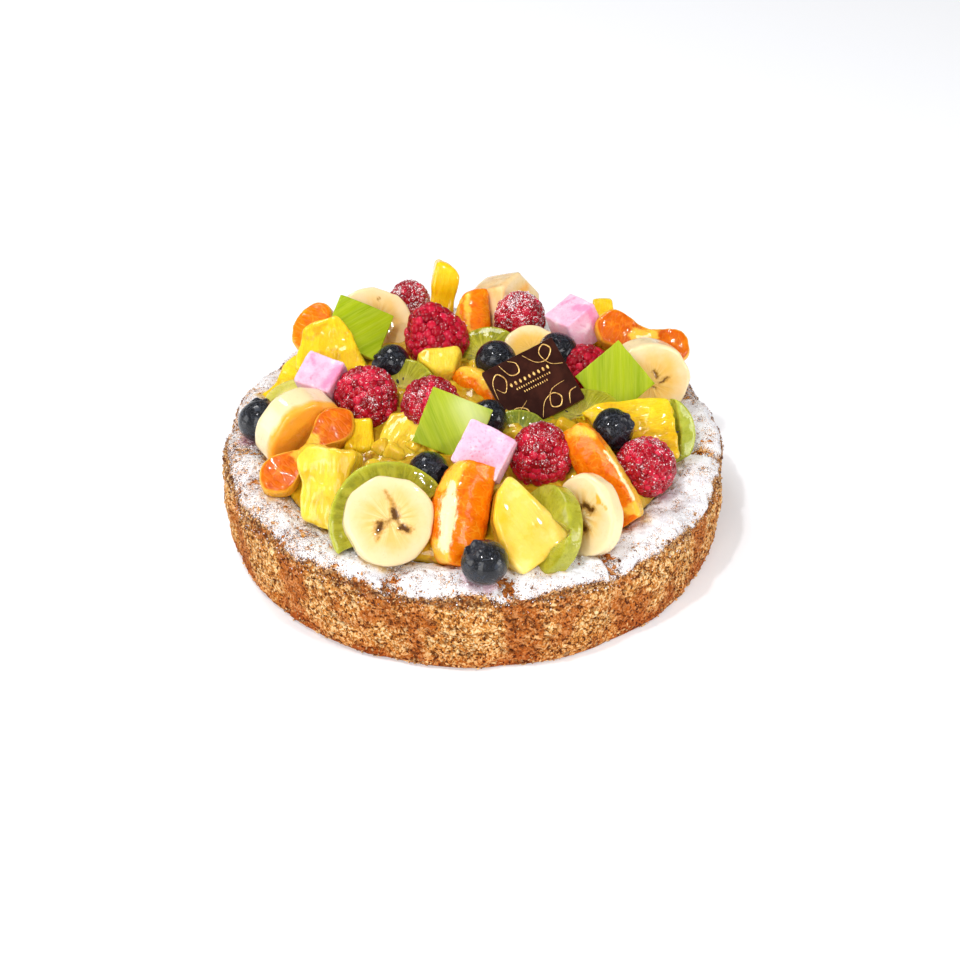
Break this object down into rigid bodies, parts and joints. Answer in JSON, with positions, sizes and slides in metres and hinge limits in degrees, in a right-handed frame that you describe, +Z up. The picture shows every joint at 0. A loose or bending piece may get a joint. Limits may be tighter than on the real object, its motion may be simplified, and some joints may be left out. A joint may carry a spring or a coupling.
{
  "type": "fruit tart",
  "caption": "Round mixed fruit tart: a piped nut sponge base with a sugared rim, filled with custard and heaped with glazed fruit, marshmallow cubes and chocolate squares.",
  "frame": {"origin": "on the table, under the centre of the tart's round base", "axes": "+Z up; -Y is the front, from which the tart is seen; +X to the right"},
  "size_m": [0.1771, 0.178, 0.068],
  "materials": {
    "sponge": "baked nut crumb, golden brown, dusted with icing sugar on the rim",
    "custard": "smooth pastry cream under clear glaze",
    "raspberry": "glossy drupelets, some dusted with icing sugar",
    "blueberry": "dark skin with a pale bloom",
    "banana": "glazed slice",
    "kiwi": "glazed translucent slice",
    "pineapple": "glazed fibrous flesh",
    "mango": "glazed smooth flesh",
    "mandarin": "glazed segment with white pith",
    "marshmallow": "soft, sugary, finely porous",
    "green_chocolate": "thin tempered plate with fine streaks",
    "dark_chocolate": "thin tempered plate with a gold print",
    "icing_sugar": "fine white powder",
    "glaze": "clear yellow apricot glaze"
  },
  "bodies": {
    "root": {"banana_back": "banana", "banana_back_left": "banana", "banana_behind_centre": "banana", "banana_front": "banana", "banana_front_right": "banana", "banana_left": "banana", "banana_right": "banana", "blueberry_behind_plaque": "blueberry", "blueberry_centre": "blueberry", "blueberry_front": "blueberry", "blueberry_front_left": "blueberry", "blueberry_middle": "blueberry", "blueberry_right": "blueberry", "blueberry_rim_left": "blueberry", "blueberry_upper_left": "blueberry", "chocolate_plaque": "dark_chocolate", "custard_bed": "custard", "green_square_left": "green_chocolate", "green_square_middle": "green_chocolate", "green_square_right": "green_chocolate", "kiwi_behind_plaque": "kiwi", "kiwi_centre": "kiwi", "kiwi_core": "kiwi", "kiwi_front": "kiwi", "kiwi_front_left": "kiwi", "kiwi_left": "kiwi", "kiwi_right": "kiwi", "kiwi_upper_left": "kiwi", "mandarin_back": "mandarin", "mandarin_back_left": "mandarin", "mandarin_back_right": "mandarin", "mandarin_by_plaque": "mandarin", "mandarin_front": "mandarin", "mandarin_left": "mandarin", "mandarin_right": "mandarin", "mango_front": "mango", "mango_stick": "mango", "marshmallow_back": "marshmallow", "marshmallow_front": "marshmallow", "marshmallow_left": "marshmallow", "pineapple_back_right": "pineapple", "pineapple_centre": "pineapple", "pineapple_front_left": "pineapple", "pineapple_left": "pineapple", "pineapple_middle_left": "pineapple", "pineapple_right": "pineapple", "pineapple_small": "pineapple", "pineapple_upper_left": "pineapple", "raspberry_back": "raspberry", "raspberry_back_left": "raspberry", "raspberry_behind_plaque": "raspberry", "raspberry_front": "raspberry", "raspberry_left": "raspberry", "raspberry_middle": "raspberry", "raspberry_right": "raspberry", "raspberry_tall": "raspberry", "sponge_base": "sponge"}
  },
  "joints": []
}
